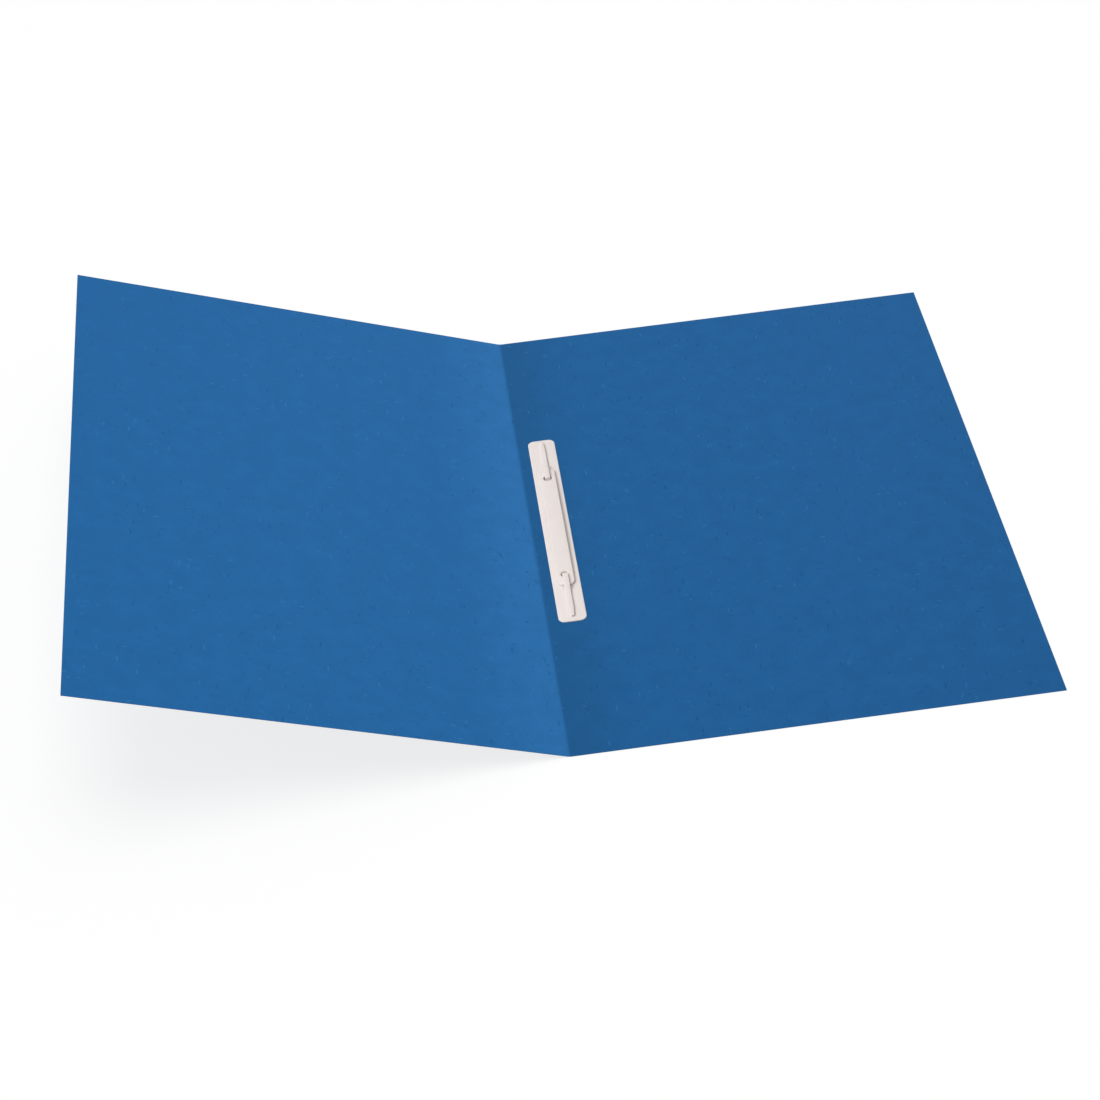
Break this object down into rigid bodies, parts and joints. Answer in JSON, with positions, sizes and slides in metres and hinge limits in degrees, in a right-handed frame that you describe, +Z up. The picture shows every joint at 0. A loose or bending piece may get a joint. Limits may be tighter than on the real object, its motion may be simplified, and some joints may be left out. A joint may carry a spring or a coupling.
{
  "type": "manila folder",
  "caption": "Open two-leaf card folder for A4 sheets, with a scored spine and a stuck-on fastener strip whose tongues hold down a presser bar.",
  "frame": {"origin": "middle of the bottom of the object's box, in the plane that the back leaf lies on", "axes": "+Z up, +Y along the crease towards the folder's upper edge, +X across the back leaf, which carries the fastener"},
  "size_m": [0.4844, 0.34, 0.0873],
  "materials": {
    "card": "uncoated fibrous card dyed blue through its thickness, matt",
    "adhesive": "thin double-sided tape, matt",
    "fastener_plastic": "moulded warm white polypropylene, satin"
  },
  "bodies": {
    "back_leaf": {"back_cover": "card", "spine_crease": "card", "adhesive_strip": "adhesive", "fastener_base": "fastener_plastic"},
    "front_leaf": {"front_cover": "card"},
    "upper_tongue": {"upper_tongue": "fastener_plastic"},
    "lower_tongue": {"lower_tongue": "fastener_plastic"},
    "presser_bar": {"presser_bar": "fastener_plastic"}
  },
  "joints": [
    {"name": "spine_fold", "type": "hinge", "parent": "back_leaf", "child": "front_leaf", "pos_m": [-0.00735, 0, 0.00252], "axis": [0, -1, 0], "range_deg": [-159.65, 20.35], "stiffness_Nm_per_rad": 0.06, "springref_deg": -29.97, "deforming": ["spine_crease"]},
    {"name": "upper_tongue_bend", "type": "hinge", "parent": "back_leaf", "child": "upper_tongue", "pos_m": [0.00599, 0.04, 0.0034], "axis": [1, 0, 0], "range_deg": [0, 90], "deforming": ["upper_tongue"]},
    {"name": "lower_tongue_bend", "type": "hinge", "parent": "back_leaf", "child": "lower_tongue", "pos_m": [0.00599, -0.04, 0.0034], "axis": [-1, 0, 0], "range_deg": [0, 90], "deforming": ["lower_tongue"]},
    {"name": "presser_bar_lift", "type": "slide", "parent": "back_leaf", "child": "presser_bar", "axis": [0, 0, 1], "range_m": [0, 0.0012]}
  ],
  "couplings": [
    {"joint": "lower_tongue_bend", "follows": "upper_tongue_bend", "ratio": 1},
    {"joint": "presser_bar_lift", "follows": "upper_tongue_bend", "m_per_rad": 0.00076394}
  ]
}
